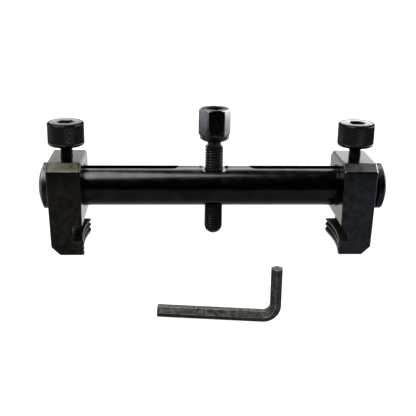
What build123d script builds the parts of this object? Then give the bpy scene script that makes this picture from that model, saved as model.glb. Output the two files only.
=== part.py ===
from build123d import *
import math
import os

# Two-jaw puller for ribbed-belt pulleys.  Millimetres, +Z up, beam along X.
# Origin: on the forcing screw's axis, at the level of the jaws' feet.
# Front is -Y.  The left jaw is on -X.

os.makedirs("parts", exist_ok=True)

# ---- driving dimensions ----------------------------------------------------
BEAM_DIA = 26.0
BEAM_HALF = 106.3            # half length of the round bar
BEAM_Z = 40.0                # height of the bar's axis over the feet
BORE_PLAY = 0.10             # radial play of a jaw on the bar
SCREW_PLAY = 0.10            # radial play of a screw in its hole

SLOT_WIDTH = 8.4
SLOT_DEPTH = 5.0
SLOT_INNER = 23.1            # rounded ends of each top slot, from the middle
SLOT_OUTER = 103.5
SPOT_DIA = 19.0              # flat around the forcing screw
SPOT_DEPTH = 2.0

CAP_DIA = 30.0
CAP_RIM = 3.9                # straight part of a stop ring's rim
CAP_DOME = 3.7               # height of its domed outer face
CAP_APEX = BEAM_HALF + CAP_RIM + CAP_DOME
CAP_BEVEL = 0.5
CAP_SCREW_DIA = 8.0
CAP_SCREW_LENGTH = 16.0
CAP_HEAD_DIA = 13.0
CAP_HEAD_HEIGHT = 5.0
CAP_HEAD_SUNK = 0.6          # under the top of the dome
CAP_HEAD_PLAY = 0.3
CAP_SEAT = CAP_APEX - CAP_HEAD_SUNK - CAP_HEAD_HEIGHT
CAP_KEY = 6.0                # across flats of the cap screws' sockets
CAP_KEY_DEPTH = 3.0
THREAD_BEVEL = 0.8           # at a screw's end

JAW_WIDTH = 21.7
JAW_DEPTH = 48.0
JAW_HEIGHT = 59.6
JAW_BEVEL_Y = 7.0            # sloping shoulders, front and back
JAW_BEVEL_Z = 4.2
JAW_HEEL = 5.4               # bevel under the outer side
JAW_EDGE = 1.2
JAW_TAPER = 1.8              # how much thinner the outer side makes the foot
PAD_PROUD = 0.9              # the ribbed pad stands out from the gripping side
MOUTH_BEVEL = 1.2            # at both mouths of a jaw's bore
LEFT_FACE_X = -84.4          # gripping side of each jaw at rest
RIGHT_FACE_X = 81.3

RIB_PITCH = 3.56
RIB_COUNT = 3
RIB_DEPTH = 1.7
RIB_FLAT = 0.25              # half width of a rib's crest
LOW_RIB_Z = 1.15
GRIP_RADIUS = 110.0          # the ribs follow the rim of a large pulley
GRIP_HALF = 22.0             # half length of the crests' arc along the jaw
PAD_TOP = 8.9
RELIEF_TOP = 19.8
RELIEF_DEPTH = 5.9
RELIEF_FRONT = (1.0, 1.0, 1.0)   # shares of that depth: low, half way up, top
RELIEF_BACK = (0.9, 0.72, 0.2)

CLAMP_DIA = 8.0
CLAMP_HEAD_DIA = 23.6
CLAMP_HEAD_BOTTOM = 67.1
CLAMP_HEAD_TOP = 82.2
CLAMP_HEAD_ROUND = 1.6       # under the head
CLAMP_HEAD_BEVEL = 0.9
CLAMP_KEY = 10.0
CLAMP_KEY_DEPTH = 8.5
PAD_DIA = 7.4
PAD_HEIGHT = 2.4
PAD_BEVEL = 0.4
PAD_GAP = 0.5                # under a loosened clamp screw
STEM_DIA = 4.0
STEM_LENGTH = 4.0
STEM_ROOM = 0.5              # over the end of the stem

SCREW_DIA = 12.0
HEX_FLATS = 18.0
HEX_BOTTOM = 74.4
HEX_TOP = 91.3
HEX_TURN = 5.3               # degrees
CROWN_SLOPE = 30.0           # degrees
CROWN_INSET = 0.2            # crown's radius, less than half of the flats
COLLAR_DIA = 19.2
COLLAR_BOTTOM = 70.8
COLLAR_BEVEL = 1.3
NECK_DIA = 9.0
NECK_BOTTOM = 67.4
DRIVE_SQUARE = 9.6
DRIVE_DEPTH = 11.0
SCREW_TIP = 7.2              # lowest point of the round end
POINT_DIA = 5.0              # hardened point let into the round end
POINT_LENGTH = 9.0

KEY_FLATS = 6.0
KEY_LONG = 66.0              # outside lengths
KEY_SHORT = 30.3
KEY_BEND = 6.8
KEY_TURN = -7.2
KEY_CORNER = (30.3, -120.1)  # outside of the bend, on the ground

AXIAL_GAP = 0.1              # between a screw's end and its pad


# ---- helpers -----------------------------------------------------------------
def upright(radius, bottom, top, x=0.0):
    """Cylinder with a vertical axis."""
    return Pos(x, 0, (bottom + top) / 2) * Cylinder(radius, top - bottom)


def along_x(radius, start, end, z=BEAM_Z):
    """Cylinder with its axis along X."""
    return Pos((start + end) / 2, 0, z) * Rot(0, 90, 0) * Cylinder(radius, end - start)


def hex_prism(flats, bottom, top, x=0.0, turn=0.0):
    """Vertical hexagonal prism, corners on +X and -X before it is turned."""
    outline = RegularPolygon(flats / 2, 6, major_radius=False)
    return Pos(x, 0, bottom) * Rot(0, 0, turn) * extrude(outline, top - bottom)


def mouth_cone(radius, bevel, x, z, tilt):
    """Bevel at the mouth of a bore along X; tilt picks the side it opens to."""
    cone = Cone(radius, radius + 2 * bevel, 2 * bevel)
    return Pos(x, 0, z) * Rot(0, tilt, 0) * cone


# ---- beam and its ends -----------------------------------------------------------
def top_slot(side):
    """Groove with rounded ends that guides a clamp screw and keeps its jaw upright."""
    centre = side * (SLOT_INNER + SLOT_OUTER) / 2
    outline = SlotOverall(SLOT_OUTER - SLOT_INNER, SLOT_WIDTH)
    floor = BEAM_Z + BEAM_DIA / 2 - SLOT_DEPTH
    return Pos(centre, 0, floor) * extrude(outline, 2 * SLOT_DEPTH)


def make_beam():
    radius = BEAM_DIA / 2
    bar = along_x(radius, -BEAM_HALF, BEAM_HALF)
    for side in (-1, 1):
        bar -= top_slot(side)
        hole_end = side * (BEAM_HALF - CAP_SCREW_LENGTH - 2)
        start, end = sorted((hole_end, side * (BEAM_HALF + 1)))
        bar -= along_x(CAP_SCREW_DIA / 2 + SCREW_PLAY, start, end)
    spot_floor = BEAM_Z + radius - SPOT_DEPTH
    bar -= upright(SPOT_DIA / 2, spot_floor, spot_floor + 2 * SPOT_DEPTH)
    bar -= upright(SCREW_DIA / 2 + SCREW_PLAY, BEAM_Z - radius - 1, BEAM_Z + radius + 1)
    return bar


def make_cap(side):
    """Domed stop ring that keeps the jaw on the bar, with a sunk screw hole."""
    radius = CAP_DIA / 2
    ball_radius = (radius ** 2 + CAP_DOME ** 2) / (2 * CAP_DOME)
    ball = Pos(CAP_APEX - ball_radius, 0, BEAM_Z) * Rot(0, 90, 0) * Sphere(ball_radius)
    disc = along_x(radius, BEAM_HALF, CAP_APEX) & ball
    inner_rim = disc.edges().filter_by(GeomType.CIRCLE).sort_by(Axis.X)[0]
    disc = chamfer(inner_rim, CAP_BEVEL)
    disc -= along_x(CAP_SCREW_DIA / 2 + SCREW_PLAY, BEAM_HALF - 1, CAP_APEX + 1)
    disc -= along_x(CAP_HEAD_DIA / 2 + CAP_HEAD_PLAY, CAP_SEAT, CAP_APEX + 1)
    return disc if side > 0 else Rot(0, 0, 180) * disc


def make_cap_screw(side):
    """Low-headed socket screw sunk in the stop ring."""
    head_top = CAP_SEAT + CAP_HEAD_HEIGHT
    head = along_x(CAP_HEAD_DIA / 2, CAP_SEAT, head_top)
    top_rim = head.edges().filter_by(GeomType.CIRCLE).sort_by(Axis.X)[-1]
    head = chamfer(top_rim, CAP_BEVEL)
    shank = along_x(CAP_SCREW_DIA / 2, CAP_SEAT - CAP_SCREW_LENGTH, CAP_SEAT + 0.5)
    end_rim = shank.edges().filter_by(GeomType.CIRCLE).sort_by(Axis.X)[0]
    shank = chamfer(end_rim, THREAD_BEVEL)
    outline = RegularPolygon(CAP_KEY / 2, 6, major_radius=False)
    socket = extrude(outline, CAP_KEY_DEPTH + 1)
    screw = head + shank - Pos(head_top - CAP_KEY_DEPTH, 0, BEAM_Z) * Rot(0, 90, 0) * socket
    return screw if side > 0 else Rot(0, 0, 180) * screw


# ---- jaws ----------------------------------------------------------------------
def shoulders():
    """Prism along X as wide as the jaw, with sloping shoulders front and back."""
    half = JAW_DEPTH / 2
    shoulder = JAW_HEIGHT - JAW_BEVEL_Z
    crown = half - JAW_BEVEL_Y
    outline = Plane.YZ * make_face(Polyline(
        (-half, 0), (-half, shoulder), (-crown, JAW_HEIGHT),
        (crown, JAW_HEIGHT), (half, shoulder), (half, 0), close=True))
    return Pos(PAD_PROUD, 0, 0) * extrude(outline, -JAW_WIDTH - PAD_PROUD)


def jaw_block():
    """Upright block, thinner towards its foot, with the blank of the ribbed pad."""
    heel_x = -JAW_WIDTH + JAW_TAPER * (1 - JAW_HEEL / JAW_HEIGHT)
    foot_x = -JAW_WIDTH + JAW_TAPER + JAW_HEEL
    thirds = (RELIEF_TOP - PAD_TOP) / 3
    outline = Plane.XZ * make_face(Polyline(
        (PAD_PROUD, 0), (PAD_PROUD, PAD_TOP + thirds), (0, RELIEF_TOP - thirds),
        (0, JAW_HEIGHT), (-JAW_WIDTH, JAW_HEIGHT), (heel_x, JAW_HEEL), (foot_x, 0),
        close=True))
    block = shoulders() & extrude(outline, JAW_DEPTH, both=True)
    return fillet(block.edges(), JAW_EDGE)


def relief_groove():
    """Room for the pulley's flange: square at the front end, sloping at the back end."""
    mouth, low, top = PAD_PROUD + 1, PAD_TOP, RELIEF_TOP
    middle = (low + top) / 2
    ends = []
    for y, shares in ((-JAW_DEPTH / 2 - 1, RELIEF_FRONT), (JAW_DEPTH / 2 + 1, RELIEF_BACK)):
        wall = [(-share * RELIEF_DEPTH, z) for share, z in zip(shares, (low, middle, top))]
        points = [(mouth, low), *wall, (mouth, top)]
        ends.append(make_face(Polyline(*[(x, y, z) for x, z in points], close=True)))
    return loft(ends, ruled=True)


def pulley_gauge():
    """Ribbed rim that the gripping pad is the negative of."""
    flank = RIB_PITCH / 2 - 2 * RIB_FLAT
    groove = GRIP_RADIUS + RIB_DEPTH
    points = [(1, -1), (GRIP_RADIUS, -1)]
    for index in range(RIB_COUNT):
        start = LOW_RIB_Z + index * RIB_PITCH + RIB_FLAT
        floor = start + flank
        next_crest = start + RIB_PITCH - 2 * RIB_FLAT
        points += [(GRIP_RADIUS, start), (groove, floor)]
        points += [(groove, next_crest - flank), (GRIP_RADIUS, next_crest)]
    points.append((1, points[-1][1]))
    ring = revolve(make_face(Plane.XZ * Polyline(*points, close=True)), Axis.Z, 360)
    centre = PAD_PROUD + math.sqrt(GRIP_RADIUS ** 2 - GRIP_HALF ** 2)
    return Pos(centre, 0, 0) * ring


def make_jaw():
    """Jaw with its gripping side on x = 0, reaching to -X."""
    jaw = jaw_block() - relief_groove() - pulley_gauge()
    bore = BEAM_DIA / 2 + BORE_PLAY
    jaw -= along_x(bore, -JAW_WIDTH - 1, 1)
    jaw -= mouth_cone(bore, MOUTH_BEVEL, 0, BEAM_Z, 90)
    jaw -= mouth_cone(bore, MOUTH_BEVEL, -JAW_WIDTH, BEAM_Z, -90)
    jaw -= upright(CLAMP_DIA / 2 + SCREW_PLAY, BEAM_Z, JAW_HEIGHT + 1, -JAW_WIDTH / 2)
    return jaw


def place(shape, side):
    """Set a piece modelled with its jaw's gripping side on x = 0 at the left or right jaw."""
    if side < 0:
        return Pos(LEFT_FACE_X, 0, 0) * shape
    return Pos(RIGHT_FACE_X, 0, 0) * Rot(0, 0, 180) * shape


# ---- clamp screws -----------------------------------------------------------------
def make_clamp_screw():
    x = -JAW_WIDTH / 2
    floor = BEAM_Z + BEAM_DIA / 2 - SLOT_DEPTH
    end = floor + PAD_GAP + PAD_HEIGHT + AXIAL_GAP
    head = upright(CLAMP_HEAD_DIA / 2, CLAMP_HEAD_BOTTOM, CLAMP_HEAD_TOP, x)
    rims = head.edges().filter_by(GeomType.CIRCLE).sort_by(Axis.Z)
    head = fillet(rims[0], CLAMP_HEAD_ROUND)
    rims = head.edges().filter_by(GeomType.CIRCLE).sort_by(Axis.Z)
    head = chamfer(rims[-1], CLAMP_HEAD_BEVEL)
    screw = head + upright(CLAMP_DIA / 2, end, CLAMP_HEAD_BOTTOM + 1, x)
    screw -= hex_prism(CLAMP_KEY, CLAMP_HEAD_TOP - CLAMP_KEY_DEPTH, CLAMP_HEAD_TOP + 1, x)
    stem_room = end + STEM_LENGTH + STEM_ROOM
    return screw - upright(STEM_DIA / 2 + SCREW_PLAY, end - 1, stem_room, x)


def make_clamp_pad():
    """Pressure pad that turns freely in the clamp screw's end."""
    x = -JAW_WIDTH / 2
    bottom = BEAM_Z + BEAM_DIA / 2 - SLOT_DEPTH + PAD_GAP
    pad = upright(PAD_DIA / 2, bottom, bottom + PAD_HEIGHT, x)
    pad = chamfer(pad.edges().filter_by(GeomType.CIRCLE).sort_by(Axis.Z)[0], PAD_BEVEL)
    top = bottom + PAD_HEIGHT
    return pad + upright(STEM_DIA / 2, top - 0.5, top + STEM_LENGTH, x)


# ---- forcing screw ------------------------------------------------------------------
def hex_head():
    """Hexagonal head with a bevelled crown and a round collar under it."""
    head = hex_prism(HEX_FLATS, HEX_BOTTOM, HEX_TOP, turn=HEX_TURN)
    crown_radius = HEX_FLATS / 2 - CROWN_INSET
    slope = math.tan(math.radians(CROWN_SLOPE))
    reach = (HEX_TOP - HEX_BOTTOM) / slope
    crown = Cone(crown_radius + reach, crown_radius, HEX_TOP - HEX_BOTTOM)
    head &= Pos(0, 0, (HEX_TOP + HEX_BOTTOM) / 2) * crown
    collar = upright(COLLAR_DIA / 2, COLLAR_BOTTOM, HEX_BOTTOM + 0.5)
    lower_rim = collar.edges().filter_by(GeomType.CIRCLE).sort_by(Axis.Z)[0]
    collar = chamfer(lower_rim, COLLAR_BEVEL)
    drive = Box(DRIVE_SQUARE, DRIVE_SQUARE, 2 * DRIVE_DEPTH)
    head += collar
    return head - Pos(0, 0, HEX_TOP) * Rot(0, 0, 45 + HEX_TURN) * drive


def round_end():
    """Ball that the forcing screw's lower end and its point are both shaped to."""
    return Pos(0, 0, SCREW_TIP + SCREW_DIA / 2) * Sphere(SCREW_DIA / 2)


def make_forcing_screw():
    shank = upright(SCREW_DIA / 2, SCREW_TIP + SCREW_DIA / 2, NECK_BOTTOM)
    upper_rim = shank.edges().filter_by(GeomType.CIRCLE).sort_by(Axis.Z)[-1]
    shank = chamfer(upper_rim, THREAD_BEVEL)
    neck = upright(NECK_DIA / 2, NECK_BOTTOM - 1, COLLAR_BOTTOM + 1)
    screw = hex_head() + neck + shank + round_end()
    hole_top = SCREW_TIP + POINT_LENGTH + AXIAL_GAP
    return screw - upright(POINT_DIA / 2 + SCREW_PLAY, SCREW_TIP - 1, hole_top)


def make_forcing_nose():
    """Hardened point that stays still on the shaft while the screw turns."""
    return upright(POINT_DIA / 2, SCREW_TIP, SCREW_TIP + POINT_LENGTH) & round_end()


# ---- hex key --------------------------------------------------------------------------
def make_hex_key():
    """L-shaped key lying on one flat of its long arm, with the short arm up."""
    half = KEY_FLATS / 2
    corner = Vector(-half, 0, half)
    start = Vector(-KEY_LONG, 0, half)
    top = Vector(-half, 0, KEY_SHORT)
    path = FilletPolyline(start, corner, top, radius=KEY_BEND)
    outline = RegularPolygon(half, 6, major_radius=False)
    section = Plane(origin=start, x_dir=(0, 1, 0), z_dir=(1, 0, 0)) * outline
    key = sweep(section, path=path)
    return Pos(KEY_CORNER[0], KEY_CORNER[1], 0) * Rot(0, 0, KEY_TURN) * key


# ---- write every piece ------------------------------------------------------------------
pieces = {
    "beam": make_beam(),
    "forcing_screw": make_forcing_screw(),
    "forcing_nose": make_forcing_nose(),
    "hex_key": make_hex_key(),
}
for name, side in (("left", -1), ("right", 1)):
    pieces[f"{name}_stop_ring"] = make_cap(side)
    pieces[f"{name}_ring_screw"] = make_cap_screw(side)
    pieces[f"{name}_jaw"] = place(make_jaw(), side)
    pieces[f"{name}_clamp_screw"] = place(make_clamp_screw(), side)
    pieces[f"{name}_clamp_pad"] = place(make_clamp_pad(), side)

for name, shape in pieces.items():
    export_step(shape, f"parts/{name}.step")
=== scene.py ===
import math

import bpy
from mathutils import Matrix, Vector


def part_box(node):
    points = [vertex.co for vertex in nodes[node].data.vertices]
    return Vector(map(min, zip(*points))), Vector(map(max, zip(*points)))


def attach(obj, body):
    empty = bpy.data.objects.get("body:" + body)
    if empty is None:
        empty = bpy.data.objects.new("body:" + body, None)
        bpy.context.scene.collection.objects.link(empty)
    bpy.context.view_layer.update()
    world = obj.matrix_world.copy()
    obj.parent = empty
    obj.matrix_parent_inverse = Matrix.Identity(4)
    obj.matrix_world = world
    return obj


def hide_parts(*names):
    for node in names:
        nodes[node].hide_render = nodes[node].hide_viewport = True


# Looks of a two-jaw pulley puller.  Metres, in the CAD frame: +Z up, the bar along X,
# the forcing screw's axis at the origin, the ground at z = 0.

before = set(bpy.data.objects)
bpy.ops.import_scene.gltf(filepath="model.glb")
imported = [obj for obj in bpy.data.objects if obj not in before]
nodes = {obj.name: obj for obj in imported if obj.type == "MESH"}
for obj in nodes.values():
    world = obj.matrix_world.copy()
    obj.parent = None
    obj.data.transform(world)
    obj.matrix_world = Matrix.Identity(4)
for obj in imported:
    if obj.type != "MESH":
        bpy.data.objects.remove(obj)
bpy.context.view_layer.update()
TURN = 2 * math.pi
MM = 0.001

# ---- camera ------------------------------------------------------------------
CAMERA_TARGET = Vector((-0.0035, 0, 0.0242))
CAMERA_DISTANCE = 0.5306
CAMERA_AZIMUTH = math.radians(-2.71)
CAMERA_ELEVATION = math.radians(18.13)
CAMERA_ROLL = math.radians(0.81)
CAMERA_LENS = 69.1           # millimetres, on a 36 mm sensor
CAMERA_SENSOR = 36


def make_camera():
    flat = math.cos(CAMERA_ELEVATION)
    side, front = math.cos(CAMERA_AZIMUTH), math.sin(CAMERA_AZIMUTH)
    back = Vector((front * flat, -side * flat, math.sin(CAMERA_ELEVATION)))
    level = Vector((side, front, 0))
    upright = back.cross(level)
    right = level * math.cos(CAMERA_ROLL) + upright * math.sin(CAMERA_ROLL)
    up = upright * math.cos(CAMERA_ROLL) - level * math.sin(CAMERA_ROLL)
    data = bpy.data.cameras.new("camera")
    data.lens = CAMERA_LENS
    data.sensor_width = CAMERA_SENSOR
    camera = bpy.data.objects.new("camera", data)
    place = CAMERA_TARGET + back * CAMERA_DISTANCE
    turn = Matrix((right, up, back)).transposed().to_4x4()
    camera.matrix_world = Matrix.Translation(place) @ turn
    bpy.context.scene.collection.objects.link(camera)
    bpy.context.scene.camera = camera


# ---- studio --------------------------------------------------------------------
ROOM_BACK = 2.0              # what polished faces see far behind the tool
ROOM_FRONT = 0.02            # what they see overhead, beside and in front of it
ROOM_RISE = (0.35, 0.85)     # Y of the directions where brightening starts and ends
ROOM_WASH = 3.0              # what lights the floor and dull faces evenly
ROOM_COLOUR = (1.0, 0.965, 0.925, 1)
FLOOR_REACH = 6.0
FLOOR_GREY = 0.02
FLOOR_GLOW = 1.02            # keeps the floor white under the tool
FLAG_REACH = 0.5
FLAG_Y = -0.215
FLAG_BOTTOM = 0.002
FLAG_TOP = 0.13

CREAM = (1.0, 0.96, 0.90)
STRAW = (1.0, 0.97, 0.82)
AMBER = (1.0, 0.93, 0.78)
WHITE = (1, 1, 1)
COOL_WHITE = (0.98, 0.99, 1.0)
PALE_BLUE = (0.94, 0.97, 1.0)
SKY_BLUE = (0.93, 0.96, 1.0)

# Soft boxes: place, the spot it faces, width and height, radiance and colour.
SOFT_BOXES = {
    "overhead": ((0.05, 0.505, 0.736), (0.05, 0, 0.04), (1.3, 0.40), 24, CREAM),
    "front_left": ((-0.36, -0.235, 0.651), (-0.05, 0, 0.05), (0.6, 0.86), 36, STRAW),
    "right_strip": ((0.40, 0.118, 0.88), (0.05, 0, 0.05), (0.7, 0.15), 15, AMBER),
    "low_right": ((0.36, 0.13, 0.07), (0.04, 0, 0.07), (0.50, 0.12), 12, COOL_WHITE),
    "right_high": ((0.50, 0.04, 0.38), (0.05, 0, 0.06), (0.40, 0.34), 38, SKY_BLUE),
    "low_left": ((-0.34, 0.06, 0.06), (-0.04, 0, 0.07), (0.26, 0.10), 6, PALE_BLUE),
    "right_side": ((0.62, 0.30, 0.14), (0.0, 0, 0.07), (0.36, 0.32), 18, COOL_WHITE),
    "left_side": ((-0.62, 0.18, 0.16), (0.0, 0, 0.07), (0.32, 0.32), 8, PALE_BLUE),
    "back_right": ((0.45, 1.0, 0.36), (0.05, 0, 0.05), (0.9, 0.5), 1.8, WHITE),
}


def make_card(name, corners):
    """Flat sheet and its shader."""
    mesh = bpy.data.meshes.new(name)
    mesh.from_pydata(corners, [], [(0, 1, 2, 3)])
    card = bpy.data.objects.new(name, mesh)
    bpy.context.scene.collection.objects.link(card)
    material = bpy.data.materials.new(name)
    material.use_nodes = True
    mesh.materials.append(material)
    return card, material.node_tree.nodes["Principled BSDF"]


def make_floor():
    """Matt floor that glows just enough to stay white under the tool."""
    reach = FLOOR_REACH
    corners = [(-reach, -reach, 0), (reach, -reach, 0), (reach, reach, 0), (-reach, reach, 0)]
    floor, shader = make_card("floor", corners)
    shader.inputs["Base Color"].default_value = (FLOOR_GREY, FLOOR_GREY, FLOOR_GREY, 1)
    shader.inputs["Emission Color"].default_value = (1, 1, 1, 1)
    shader.inputs["Emission Strength"].default_value = FLOOR_GLOW
    shader.inputs["Roughness"].default_value = 0.9
    shader.inputs["Specular IOR Level"].default_value = 0.1


def make_flag():
    """Black card in front of the tool, seen only in its polished upright faces."""
    across = (-FLAG_REACH, FLAG_REACH, FLAG_REACH, -FLAG_REACH)
    heights = (FLAG_BOTTOM, FLAG_BOTTOM, FLAG_TOP, FLAG_TOP)
    flag, shader = make_card("flag", [(x, FLAG_Y, z) for x, z in zip(across, heights)])
    shader.inputs["Base Color"].default_value = (0.0, 0.0, 0.0, 1)
    shader.inputs["Specular IOR Level"].default_value = 0.0
    flag.visible_camera = False
    flag.visible_diffuse = False
    flag.visible_shadow = False


def soft_light(name, place, aim, size, radiance, colour):
    data = bpy.data.lights.new(name, "AREA")
    data.shape = "RECTANGLE"
    data.size, data.size_y = size
    data.energy = radiance * math.pi * size[0] * size[1]
    data.color = colour
    light = bpy.data.objects.new(name, data)
    light.visible_camera = False
    light.location = place
    look = Vector(aim) - Vector(place)
    light.rotation_euler = look.to_track_quat("-Z", "Y").to_euler()
    bpy.context.scene.collection.objects.link(light)


def make_world():
    """Room that polished faces see bright behind and dark elsewhere, and dull ones evenly."""
    world = bpy.data.worlds.new("studio")
    bpy.context.scene.world = world
    world.use_nodes = True
    tree = world.node_tree
    links = tree.links
    sky = tree.nodes["Background"]
    coords = tree.nodes.new("ShaderNodeTexCoord")
    parts = tree.nodes.new("ShaderNodeSeparateXYZ")
    links.new(coords.outputs["Generated"], parts.inputs[0])
    ramp = tree.nodes.new("ShaderNodeMapRange")
    ramp.inputs["From Min"].default_value, ramp.inputs["From Max"].default_value = ROOM_RISE
    ramp.inputs["To Min"].default_value = ROOM_FRONT
    ramp.inputs["To Max"].default_value = ROOM_BACK
    links.new(parts.outputs["Y"], ramp.inputs["Value"])
    path = tree.nodes.new("ShaderNodeLightPath")
    pick = tree.nodes.new("ShaderNodeMix")
    pick.data_type = "FLOAT"
    factor, wash, seen = pick.inputs[0], pick.inputs[2], pick.inputs[3]
    links.new(path.outputs["Is Glossy Ray"], factor)
    wash.default_value = ROOM_WASH
    links.new(ramp.outputs[0], seen)
    links.new(pick.outputs[0], sky.inputs["Strength"])
    sky.inputs["Color"].default_value = ROOM_COLOUR


def make_studio():
    make_floor()
    make_world()
    make_flag()
    for name, box in SOFT_BOXES.items():
        soft_light(name, *box)
    view = bpy.context.scene.view_settings
    view.view_transform = "Standard"
    view.look = "None"


# ---- materials -------------------------------------------------------------------
class Finish:
    """A principled metal with short helpers for its procedural parts."""

    def __init__(self, name, roughness, tint):
        self.material = bpy.data.materials.new(name)
        self.material.use_nodes = True
        self.tree = self.material.node_tree
        self.shader = self.tree.nodes["Principled BSDF"]
        self.shader.inputs["Metallic"].default_value = 1.0
        self.shader.inputs["Specular Tint"].default_value = (tint, tint, tint, 1)
        self.shader.inputs["Specular IOR Level"].default_value = 0.0
        self.shader.inputs["Roughness"].default_value = roughness
        self.coords = self.tree.nodes.new("ShaderNodeTexCoord").outputs["Object"]

    def link(self, source, target):
        self.tree.links.new(source, target)

    def feed(self, socket, value):
        """Give a socket a number, a colour or another node's output."""
        if isinstance(value, tuple):
            socket.default_value = (*value, 1)
        elif isinstance(value, (int, float)):
            socket.default_value = value
        else:
            self.link(value, socket)

    def stretched(self, scale):
        node = self.tree.nodes.new("ShaderNodeMapping")
        node.inputs["Scale"].default_value = scale
        self.link(self.coords, node.inputs["Vector"])
        return node.outputs["Vector"]

    def noise(self, scale, detail, vector=None):
        node = self.tree.nodes.new("ShaderNodeTexNoise")
        node.inputs["Scale"].default_value = scale
        node.inputs["Detail"].default_value = detail
        node.inputs["Roughness"].default_value = 0.55
        self.link(vector or self.coords, node.inputs["Vector"])
        return node.outputs["Fac"]

    def span(self, value, low, high, start=0.3, end=0.7):
        """Stretch start..end of a value to low..high, clamped at both ends."""
        node = self.tree.nodes.new("ShaderNodeMapRange")
        node.inputs["From Min"].default_value = start
        node.inputs["From Max"].default_value = end
        node.inputs["To Min"].default_value = low
        node.inputs["To Max"].default_value = high
        self.link(value, node.inputs["Value"])
        return node.outputs[0]

    def blend(self, factor, first, second):
        """Mix two colours."""
        node = self.tree.nodes.new("ShaderNodeMix")
        node.data_type = "RGBA"
        self.link(factor, node.inputs[0])
        self.feed(node.inputs[6], first)
        self.feed(node.inputs[7], second)
        return node.outputs[2]

    def math(self, operation, first, second):
        node = self.tree.nodes.new("ShaderNodeMath")
        node.operation = operation
        self.feed(node.inputs[0], first)
        self.feed(node.inputs[1], second)
        return node.outputs[0]

    def edges(self, radius):
        """Near 1 along sharp edges and 0 on open faces."""
        bevel = self.tree.nodes.new("ShaderNodeBevel")
        bevel.samples = 6
        bevel.inputs["Radius"].default_value = radius
        shape = self.tree.nodes.new("ShaderNodeNewGeometry")
        dot = self.tree.nodes.new("ShaderNodeVectorMath")
        dot.operation = "DOT_PRODUCT"
        self.link(bevel.outputs[0], dot.inputs[0])
        self.link(shape.outputs["Normal"], dot.inputs[1])
        return self.span(dot.outputs["Value"], 1.0, 0.0, 0.80, 0.985)

    def hollows(self, distance, shut):
        """Near 0 deep in grooves and corners and 1 on open faces."""
        node = self.tree.nodes.new("ShaderNodeAmbientOcclusion")
        node.samples = 8
        node.only_local = True
        node.inputs["Distance"].default_value = distance
        return self.span(node.outputs["AO"], 0.0, 1.0, shut, 0.97)

    def bump(self, height, strength, distance):
        node = self.tree.nodes.new("ShaderNodeBump")
        node.inputs["Strength"].default_value = strength
        node.inputs["Distance"].default_value = distance
        self.link(height, node.inputs["Height"])
        self.link(node.outputs["Normal"], self.shader.inputs["Normal"])

    def colour(self, value):
        self.link(value, self.shader.inputs["Base Color"])

    def roughness(self, value):
        self.link(value, self.shader.inputs["Roughness"])

    def metallic(self, value):
        self.link(value, self.shader.inputs["Metallic"])


def grey(value):
    return (value, value, value)


# Near-black painted into grooves and corners as shade.
PAINTED_SHADE = grey(0.0015)


def black_oxide(name, dark, pale, wear, rough, tint, mottle=260, wear_radius=0.6 * MM,
                hollow=5 * MM, shut=0.62, grit=0.25, tone=grey(1.2)):
    """Blackened steel: mottled film, faint pores, painted shade in hollows, edges rubbed paler.

    dark and pale are the film's colours and wear is the rubbed edges'.  tone tints the
    film's larger patches and mottle sets how fine its clouds are.  hollow is how near the
    walls of a groove are where shade is painted in, and shut is how open a spot can be and be painted
    all shade.
    """
    finish = Finish(name, rough, tint)
    cloud = finish.noise(mottle, 5.0)
    speck = finish.noise(2400, 2.0)
    film = finish.blend(finish.span(cloud, 0.0, 1.0), dark, pale)
    patch = tuple(channel * share for channel, share in zip(pale, tone))
    patches = finish.span(finish.noise(mottle * 0.5, 4.0), 0.0, 0.7, 0.48, 0.66)
    base = finish.blend(patches, film, patch)
    rub = finish.math("MULTIPLY", finish.edges(wear_radius), finish.span(cloud, 0.25, 1.0))
    # Occlusion mask: near 0 where walls hem a spot in, which is where shade is painted.
    unshaded = finish.hollows(hollow, shut)
    worn = finish.blend(finish.math("MULTIPLY", rub, unshaded), base, wear)
    # Painted shade: hemmed-in spots turn near-black and lose their metal sheen.
    finish.colour(finish.blend(unshaded, PAINTED_SHADE, worn))
    finish.metallic(unshaded)
    uneven = finish.math("ADD", finish.span(cloud, -0.07, 0.07), finish.span(speck, -0.05, 0.05))
    finish.roughness(finish.math("ADD", uneven, rough))
    grain = finish.math("ADD", speck, finish.math("MULTIPLY", cloud, 0.6))
    finish.bump(grain, grit, 0.06 * MM)
    return finish.material


def ground_bar():
    """Bright-drawn bar, blackened: fine lines round and along it."""
    finish = Finish("bar_black", 0.16, 0.75)
    along = finish.noise(1.0, 4.0, finish.stretched((40, 2600, 2600)))
    around = finish.noise(1.0, 3.0, finish.stretched((3800, 60, 60)))
    cloud = finish.noise(120, 4.0)
    dark, pale = (0.004, 0.0043, 0.0052), (0.0072, 0.0076, 0.0088)
    base = finish.blend(finish.span(cloud, 0.0, 1.0), dark, pale)
    # Paler edges: partly rubbed wear, partly a painted highlight along the slot edges.
    rub = finish.math("MULTIPLY", finish.edges(0.5 * MM), finish.span(cloud, 0.3, 1.0))
    finish.colour(finish.blend(rub, base, (0.03, 0.03, 0.031)))
    finish.roughness(finish.math("ADD", finish.span(along, -0.04, 0.06), finish.span(cloud, 0.14, 0.22)))
    lines = finish.math("ADD", along, finish.math("MULTIPLY", around, 0.8))
    finish.bump(lines, 0.12, 0.03 * MM)
    return finish.material


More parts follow.
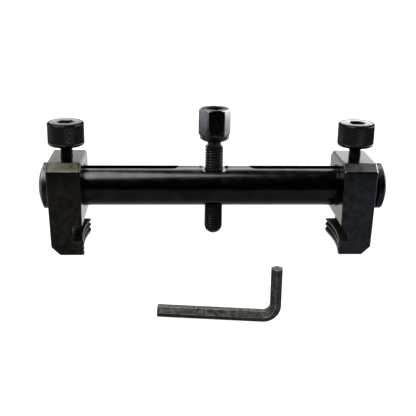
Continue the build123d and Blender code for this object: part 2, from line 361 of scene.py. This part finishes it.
def phosphated():
    """Grey phosphate film of the hex key, with rubbed corners."""
    finish = Finish("key_grey", 0.42, 0.4)
    cloud = finish.noise(500, 5.0)
    fine = finish.noise(3200, 2.0)
    dark, pale = (0.008, 0.008, 0.0084), (0.034, 0.034, 0.0345)
    base = finish.blend(finish.span(cloud, 0.0, 1.0), dark, pale)
    rub = finish.math("MULTIPLY", finish.edges(0.4 * MM), finish.span(fine, 0.4, 1.0))
    finish.colour(finish.blend(rub, base, grey(0.24)))
    finish.roughness(finish.math("ADD", finish.span(cloud, -0.08, 0.08), finish.span(fine, 0.38, 0.46)))
    finish.bump(finish.math("ADD", cloud, fine), 0.3, 0.06 * MM)
    return finish.material


def turned_brass():
    """Brass of the pressure pads, with fine turning rings."""
    finish = Finish("pad_brass", 0.3, 0.9)
    cloud = finish.noise(420, 4.0)
    rings = finish.noise(1.0, 2.0, finish.stretched((60, 60, 5200)))
    finish.colour(finish.blend(finish.span(cloud, 0.0, 1.0), (0.55, 0.38, 0.15), (0.74, 0.56, 0.27)))
    finish.roughness(finish.span(cloud, 0.24, 0.42))
    finish.bump(rings, 0.2, 0.03 * MM)
    return finish.material


def left_jaw_black():
    """Film with a brown cast."""
    # The wide hollow reach paints the notch and rib valleys dark as shade.
    return black_oxide("jaw_black", (0.0040, 0.0040, 0.0038), (0.0096, 0.0093, 0.0086),
                       (0.05, 0.048, 0.046), 0.2, 0.7,
                       hollow=12 * MM, shut=0.72, tone=(1.4, 1.1, 0.8))


def right_jaw_black():
    """Film with a blue cast."""
    # The wide hollow reach paints the notch and rib valleys dark as shade.
    return black_oxide("jaw_black_cool", (0.0066, 0.0070, 0.0082), (0.0126, 0.0136, 0.0160),
                       grey(0.05), 0.2, 0.7,
                       hollow=12 * MM, shut=0.72, tone=(0.9, 1.1, 1.4))


def knurl_black():
    return black_oxide("knurl_black", (0.003, 0.003, 0.0034), (0.0065, 0.0065, 0.0073),
                       grey(0.06), 0.2, 0.8, mottle=700,
                       wear_radius=0.2 * MM, hollow=1.4 * MM, shut=0.8, grit=0.03)


def crown_black():
    """Clamp screw's top face."""
    return black_oxide("crown_black", (0.003, 0.003, 0.0032), (0.006, 0.006, 0.0064),
                       grey(0.08), 0.22, 0.8, mottle=700,
                       wear_radius=0.2 * MM, hollow=0.8 * MM, grit=0.05)


def rim_painted_shade():
    """Edge between a clamp screw's top face and its knurl, painted near-black and dull as shade."""
    return black_oxide("rim_painted_shade", (0.0006, 0.0006, 0.0007), (0.0016, 0.0016, 0.0019),
                       grey(0.03), 0.4, 0.1, mottle=700,
                       wear_radius=0.1 * MM, hollow=0.8 * MM, grit=0.1)


def screw_black():
    """Glossier film of the forcing screw's head."""
    return black_oxide("screw_black", (0.013, 0.013, 0.0165), (0.021, 0.021, 0.026),
                       grey(0.16), 0.2, 0.95, mottle=700,
                       wear_radius=0.3 * MM, hollow=1.5 * MM, grit=0.03)


def thread_black():
    return black_oxide("thread_black", (0.008, 0.008, 0.0096), (0.015, 0.015, 0.0178),
                       grey(0.10), 0.18, 0.7, mottle=700,
                       wear_radius=0.15 * MM, hollow=1.6 * MM, shut=0.88, grit=0.02)


def shank_black():
    return black_oxide("shank_black", (0.0028, 0.0028, 0.0032), (0.006, 0.006, 0.007),
                       grey(0.06), 0.2, 0.4, mottle=700,
                       wear_radius=0.15 * MM, hollow=1.6 * MM, shut=0.9, grit=0.02)


def head_top_painted_shade():
    """Forcing screw's top face, painted darker and with less sheen than the head's sides, as shade."""
    return black_oxide("crown_painted_shade", (0.003, 0.003, 0.0036), (0.006, 0.006, 0.007),
                       grey(0.12), 0.22, 0.36, mottle=700,
                       wear_radius=0.2 * MM, hollow=1.5 * MM, grit=0.03)


def ring_black():
    return black_oxide("ring_black", (0.006, 0.006, 0.0065), (0.011, 0.011, 0.012),
                       grey(0.12), 0.3, 0.55)


def nose_steel():
    """Hardened point, nearly bare."""
    return black_oxide("nose_steel", (0.03, 0.03, 0.031), grey(0.06),
                       grey(0.3), 0.28, 0.8, mottle=900, hollow=1.5 * MM)


# ---- turned meshes -------------------------------------------------------------------
class Turned:
    """A closed piece made of rings about a vertical axis; a ring's radius may vary round it."""

    def __init__(self, centre=(0.0, 0.0), turn=0.0):
        self.centre = centre
        self.turn = turn
        self.points = []
        self.faces = []
        self.last = None

    def tip(self, z):
        """Open or close the piece with a point on the axis."""
        index = len(self.points)
        self.points.append((self.centre[0], self.centre[1], z))
        if self.last is not None:
            count = len(self.last)
            for i in range(count):
                self.faces.append((self.last[i], self.last[(i + 1) % count], index))
        self.last = [index]

    def ring(self, z, radius, count):
        """Add a ring; radius is a number or a function of the angle."""
        start = len(self.points)
        for i in range(count):
            angle = TURN * i / count
            r = radius(angle) if callable(radius) else radius
            heading = angle + self.turn
            x = self.centre[0] + r * math.cos(heading)
            y = self.centre[1] + r * math.sin(heading)
            self.points.append((x, y, z))
        here = list(range(start, start + count))
        self.join(self.last, here)
        self.last = here

    def join(self, before, after):
        """Faces between two rings, one of which may be a point or have several times more points."""
        if len(before) == 1:
            count = len(after)
            for i in range(count):
                self.faces.append((before[0], after[(i + 1) % count], after[i]))
            return
        few, many = sorted((before, after), key=len)
        step = len(many) // len(few)
        for i in range(len(few)):
            run = [many[(i * step + k) % len(many)] for k in range(step + 1)]
            ends = [few[i], few[(i + 1) % len(few)]]
            if few is before:
                self.faces.append((ends[0], ends[1], *reversed(run)))
            else:
                self.faces.append((*run, ends[1], ends[0]))

    def build(self, name, smooth_angle, zone):
        """The piece; zone gives the number of the material of a face from its centre."""
        mesh = bpy.data.meshes.new(name)
        mesh.from_pydata(self.points, [], self.faces)
        mesh.validate()
        piece = bpy.data.objects.new(name, mesh)
        bpy.context.scene.collection.objects.link(piece)
        shade_by_angle(piece, smooth_angle)
        mesh.flip_normals()      # its rings run from the socket to the foot, so it is inside out
        for face in mesh.polygons:
            face.material_index = zone(face.center)
        return piece


def shade_by_angle(piece, degrees):
    """Smooth shading, with edges sharper than the angle kept crisp."""
    mesh = piece.data
    mesh.polygons.foreach_set("use_smooth", [True] * len(mesh.polygons))
    mesh.set_sharp_from_angle(angle=math.radians(degrees))


def polygon_radius(sides, flats):
    """Radius of a regular polygon as a function of the angle; a corner lies at angle 0."""
    part = TURN / sides

    def radius(angle):
        off = angle % part - part / 2
        return flats / 2 / math.cos(off)
    return radius


THREAD_DEPTH = 0.61          # share of the pitch
THREAD_ROOT = 0.10           # flat root, share of the pitch
THREAD_FLANKS = 0.78         # both sloping flanks, share of the pitch
THREAD_ROWS = 10             # rings in each turn
THREAD_RUN_OUT = 0.7         # turns in which the groove fades out
SEAM = 0.1 * MM              # from a plain ring to the first ring of a thread or knurl


def thread_radius(outer, depth, pitch, z):
    """Radius of a helical thread at height z as a function of the angle."""
    def radius(angle):
        phase = (z / pitch - angle / TURN) % 1.0
        flank = abs(phase - 0.5) * 2
        ridge = min(1.0, max(0.0, (flank - THREAD_ROOT) / THREAD_FLANKS))
        return outer - depth * (1 - ridge)
    return radius


def threaded(piece, top, bottom, outer, pitch, count, ball=None):
    """Rings of a thread from top down to bottom; it fades out, or runs onto a ball end."""
    depth = THREAD_DEPTH * pitch
    rows = round((top - bottom) / pitch * THREAD_ROWS)
    for row in range(rows + 1):
        z = top + (bottom - top) * row / rows
        left = rows if ball else rows - row
        cut = depth * min(1.0, min(row, left) / (THREAD_RUN_OUT * THREAD_ROWS))
        ridge = thread_radius(outer, cut, pitch, z)
        reach = outer
        if ball is not None and z < ball:
            reach = math.sqrt(outer ** 2 - (ball - z) ** 2)
        piece.ring(z, lambda angle: min(ridge(angle), reach), count)


# ---- clamp screws ----------------------------------------------------------------------
CLAMP_HEAD_RADIUS = 11.8 * MM
CLAMP_HEAD_HEIGHT = 15.1 * MM
CLAMP_HEAD_ROUND = 1.6 * MM          # rounding of the head's lower edge
CLAMP_ROUND_STEPS = 6
CLAMP_CHAMFER = 0.9 * MM             # height of the slope from the top face to the knurl
CLAMP_CHAMFER_FOOT = 0.05 * MM       # how far inside the knurl it ends
CLAMP_RIM_WIDTH = 1.2 * MM           # from the groove in the top face to the knurl
CLAMP_SHANK_RADIUS = 4.0 * MM
CLAMP_FILLET = 0.5 * MM
CLAMP_NECK = 1.2 * MM                # plain length under the head
CLAMP_PITCH = 1.25 * MM
CLAMP_END_CHAMFER = (0.7 * MM, 0.6 * MM)  # width and height
CLAMP_KEY_FLATS = 10.0 * MM
CLAMP_KEY_DEPTH = 8.5 * MM
CLAMP_KEY_CONE = 1.6 * MM            # drill point under the socket
CLAMP_MOUTH = (0.7 * MM, 0.45 * MM)  # how much wider the socket's mouth is, and how deep
KNURLS = 48
KNURL_DEPTH = 0.55 * MM
KNURL_LEAD = 1.5 * MM
KNURL_BLUNT = 1.1                    # above 1, the diamonds have flat tops
KNURL_ROWS = 72
KNURL_FADE_ROWS = 4
STEM_HOLE_RADIUS = 2.1 * MM
STEM_HOLE_DEPTH = 4.5 * MM
FINE = KNURLS * 8                    # points in a ring on the head's side
COARSE = KNURLS * 2                  # and in any other ring

# The head's top face, from inside its shallow groove to its rim: distance in from the
# knurl, and depth.
GROOVE_DEPTH = 0.12 * MM
CLAMP_TOP_FACE = (
    (2.3 * MM, 0),
    (1.9 * MM, GROOVE_DEPTH),
    (1.35 * MM, GROOVE_DEPTH),
    (CLAMP_RIM_WIDTH, 0),
    (0.85 * MM, 0),
)
CLAMP_TOP_ZONE = 0.3 * MM            # the top face's finish reaches this far down


def knurl_radius(depth, z):
    """Diamond knurl at height z: two crossing sets of grooves."""
    def radius(angle):
        along = KNURLS * angle / TURN
        up = z / KNURL_LEAD
        first = abs((along + up) % 1.0 - 0.5) * 2
        second = abs((along - up) % 1.0 - 0.5) * 2
        height = min(1.0, KNURL_BLUNT * min(1 - first, 1 - second))
        return CLAMP_HEAD_RADIUS - depth * (1 - height)
    return radius


def clamp_socket(piece, top):
    """Hexagon socket, from its drill point up to its chamfered mouth."""
    wider, mouth_depth = CLAMP_MOUTH
    floor = top - CLAMP_KEY_DEPTH
    hexagon = polygon_radius(6, CLAMP_KEY_FLATS)
    piece.tip(floor - CLAMP_KEY_CONE)
    piece.ring(floor, hexagon, COARSE)
    piece.ring(top - mouth_depth, hexagon, COARSE)
    piece.ring(top, polygon_radius(6, CLAMP_KEY_FLATS + wider), COARSE)


def clamp_head(piece, top, under):
    """Grooved top face, chamfer, knurled side and rounded lower edge."""
    head = CLAMP_HEAD_RADIUS
    for inset, drop in CLAMP_TOP_FACE:
        piece.ring(top - drop, head - inset, COARSE)
    piece.ring(top - CLAMP_CHAMFER, head - CLAMP_CHAMFER_FOOT, FINE)
    start, end = top - CLAMP_CHAMFER - SEAM, under + CLAMP_HEAD_ROUND + SEAM
    for row in range(KNURL_ROWS + 1):
        z = start + (end - start) * row / KNURL_ROWS
        fade = min(1.0, min(row, KNURL_ROWS - row) / KNURL_FADE_ROWS)
        piece.ring(z, knurl_radius(KNURL_DEPTH * fade, z), FINE)
    for step in range(1, CLAMP_ROUND_STEPS + 1):
        angle = step / CLAMP_ROUND_STEPS * math.pi / 2
        rise = CLAMP_HEAD_ROUND * (1 - math.sin(angle))
        piece.ring(under + rise, head - CLAMP_HEAD_ROUND * (1 - math.cos(angle)), FINE)


def clamp_shank(piece, under, end):
    """Fillet, short neck, thread and the blind hole for the pad's stem."""
    shank = CLAMP_SHANK_RADIUS
    chamfer_width, chamfer_height = CLAMP_END_CHAMFER
    piece.ring(under, shank + CLAMP_FILLET, COARSE)
    piece.ring(under - CLAMP_FILLET, shank, COARSE)
    piece.ring(under - CLAMP_NECK, shank, COARSE)
    threaded(piece, under - CLAMP_NECK - SEAM, end + chamfer_height, shank, CLAMP_PITCH, COARSE)
    piece.ring(end, shank - chamfer_width, COARSE)
    piece.ring(end, STEM_HOLE_RADIUS, COARSE)
    piece.ring(end + STEM_HOLE_DEPTH, STEM_HOLE_RADIUS, COARSE)
    piece.tip(end + STEM_HOLE_DEPTH)


def clamp_screw(side):
    """Knurled clamp screw; its materials are the knurl's, the rim's painted shade, the top's and the
    shank's.
    """
    node = f"{side}_clamp_screw"
    low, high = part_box(node)
    centre = ((low.x + high.x) / 2, (low.y + high.y) / 2)
    top = high.z
    under = top - CLAMP_HEAD_HEIGHT

    def zone(spot):
        reach = math.dist(spot[:2], centre)
        # The rim, whose material is painted shade.
        if reach > CLAMP_HEAD_RADIUS - CLAMP_RIM_WIDTH and spot.z > top - CLAMP_CHAMFER:
            return 1
        if spot.z > top - CLAMP_TOP_ZONE:
            return 2
        return 3 if spot.z < under else 0

    piece = Turned(centre)
    clamp_socket(piece, top)
    clamp_head(piece, top, under)
    clamp_shank(piece, under, low.z)
    made = piece.build(f"{node}_knurled", 35, zone)
    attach(made, node)
    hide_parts(node)
    return made


# ---- forcing screw ------------------------------------------------------------------------
HEX_FLATS = 18.0 * MM
HEX_TURN = math.radians(5.3)
HEX_HEIGHT = 16.9 * MM
HEX_CORNER_SLOPE = math.tan(math.radians(30))
HEX_TOP_INSET = 0.25 * MM            # the flat top's circle, inside the hexagon's faces
HEX_CROWN_DROP = 1.6 * MM            # how far down the corners are cut at the top
HEX_CROWN_STEPS = 12
HEX_FOOT_RISE = 0.35 * MM            # how far up they are cut at the foot
HEX_FOOT_STEPS = 6
SQUARE_SIDE = 9.6 * MM
SQUARE_DEPTH = 11.0 * MM
SQUARE_MOUTH = (0.5 * MM, 0.25 * MM)  # how much wider the socket's mouth is, and how deep
COLLAR_RADIUS = 9.6 * MM
COLLAR_HEIGHT = 3.6 * MM
COLLAR_BEVEL = 1.3 * MM
COLLAR_SEAM = 0.05 * MM              # from the hexagon's foot to the collar's first ring
NECK_RADIUS = 4.5 * MM
NECK_LENGTH = 3.4 * MM
NECK_FILLET = 0.4 * MM
SCREW_RADIUS = 6.0 * MM
SCREW_PITCH = 1.75 * MM
SCREW_SHOULDER = 0.7 * MM            # slope from the neck out to the thread
SCREW_SHOULDER_INSET = 0.1 * MM
POINT_HOLE_RADIUS = 2.6 * MM
POINT_HOLE_DEPTH = 9.1 * MM
LIP_PLAIN = 0.2 * MM                 # left of the ball end between the thread and the hole
SCREW_COUNT = 144                    # points in each ring
SCREW_TOP_ZONE = 0.15 * MM           # the top face's finish reaches this far down


def crowned(cone_radius):
    """Hexagon whose corners are cut off by a cone of that radius."""
    hexagon = polygon_radius(6, HEX_FLATS)
    return lambda angle: min(hexagon(angle), cone_radius)


def drive_socket(piece, top):
    """Square drive socket, from its floor up to its chamfered mouth."""
    wider, mouth_depth = SQUARE_MOUTH
    floor = top - SQUARE_DEPTH
    square = polygon_radius(4, SQUARE_SIDE)
    piece.tip(floor)
    piece.ring(floor, square, SCREW_COUNT)
    piece.ring(top - mouth_depth, square, SCREW_COUNT)
    piece.ring(top, polygon_radius(4, SQUARE_SIDE + wider), SCREW_COUNT)


def hex_head(piece, top):
    """Hexagon with its corners cut at both ends; returns the height of its foot."""
    foot = top - HEX_HEIGHT
    crown = HEX_FLATS / 2 - HEX_TOP_INSET
    piece.ring(top, crown, SCREW_COUNT)
    for step in range(1, HEX_CROWN_STEPS + 1):
        drop = HEX_CROWN_DROP * step / HEX_CROWN_STEPS
        piece.ring(top - drop, crowned(crown + drop / HEX_CORNER_SLOPE), SCREW_COUNT)
    piece.ring(foot + HEX_FOOT_RISE, polygon_radius(6, HEX_FLATS), SCREW_COUNT)
    for step in range(1, HEX_FOOT_STEPS + 1):
        rise = HEX_FOOT_RISE * (1 - step / HEX_FOOT_STEPS)
        piece.ring(foot + rise, crowned(COLLAR_RADIUS + rise / HEX_CORNER_SLOPE), SCREW_COUNT)
    return foot


def collar_and_neck(piece, top):
    """Round collar with a bevelled lower edge, and the thinner neck; returns the neck's foot."""
    bottom = top - COLLAR_HEIGHT
    foot = bottom - NECK_LENGTH
    piece.ring(top - COLLAR_SEAM, COLLAR_RADIUS, SCREW_COUNT)
    piece.ring(bottom + COLLAR_BEVEL, COLLAR_RADIUS, SCREW_COUNT)
    piece.ring(bottom, COLLAR_RADIUS - COLLAR_BEVEL, SCREW_COUNT)
    piece.ring(bottom, NECK_RADIUS + NECK_FILLET, SCREW_COUNT)
    piece.ring(bottom - NECK_FILLET, NECK_RADIUS, SCREW_COUNT)
    piece.ring(foot, NECK_RADIUS, SCREW_COUNT)
    return foot


def screw_thread(piece, top):
    """Thread that ends in a ball, bored for the separate point."""
    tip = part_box("forcing_nose")[0].z
    ball = tip + SCREW_RADIUS
    lip = ball - math.sqrt(SCREW_RADIUS ** 2 - POINT_HOLE_RADIUS ** 2)
    threaded(piece, top, lip + LIP_PLAIN, SCREW_RADIUS, SCREW_PITCH, SCREW_COUNT, ball)
    piece.ring(lip, POINT_HOLE_RADIUS, SCREW_COUNT)
    piece.ring(tip + POINT_HOLE_DEPTH, POINT_HOLE_RADIUS, SCREW_COUNT)
    piece.tip(tip + POINT_HOLE_DEPTH)


def forcing_screw():
    """Forcing screw; its materials are the head's, the thread's and the top face's painted shade."""
    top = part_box("forcing_screw")[1].z
    piece = Turned(turn=HEX_TURN)
    drive_socket(piece, top)
    neck_foot = collar_and_neck(piece, hex_head(piece, top))
    piece.ring(neck_foot - SCREW_SHOULDER, SCREW_RADIUS - SCREW_SHOULDER_INSET, SCREW_COUNT)
    thread_top = neck_foot - SCREW_SHOULDER - SEAM
    screw_thread(piece, thread_top)

    def zone(spot):
        if spot.z < thread_top:
            return 1
        return 2 if spot.z > top - SCREW_TOP_ZONE else 0

    made = piece.build("forcing_screw_threaded", 30, zone)
    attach(made, "forcing_screw")
    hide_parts("forcing_screw")
    return made


# ---- put it together --------------------------------------------------------------------------
def paint(piece, *materials):
    """Give a piece its materials, keeping which face has which."""
    faces = piece.data.polygons
    picks = [min(face.material_index, len(materials) - 1) for face in faces]
    piece.data.materials.clear()
    for material in materials:
        piece.data.materials.append(material)
    faces.foreach_set("material_index", picks)


make_camera()
make_studio()
jaw_finishes = {"left": left_jaw_black(), "right": right_jaw_black()}
knurl_finish, rim_shade_finish, crown_finish = knurl_black(), rim_painted_shade(), crown_black()
screw_finish, shank_finish, ring_finish = screw_black(), shank_black(), ring_black()
for side, jaw_finish in jaw_finishes.items():
    paint(clamp_screw(side), knurl_finish, rim_shade_finish, crown_finish, shank_finish)
    paint(nodes[f"{side}_jaw"], jaw_finish)
    paint(nodes[f"{side}_stop_ring"], ring_finish)
    paint(nodes[f"{side}_ring_screw"], screw_finish)
    paint(nodes[f"{side}_clamp_pad"], turned_brass())
paint(forcing_screw(), screw_finish, thread_black(), head_top_painted_shade())
paint(nodes["forcing_nose"], nose_steel())
paint(nodes["beam"], ground_bar())
paint(nodes["hex_key"], phosphated())
for node in nodes.values():
    if not node.hide_render:
        shade_by_angle(node, 30)
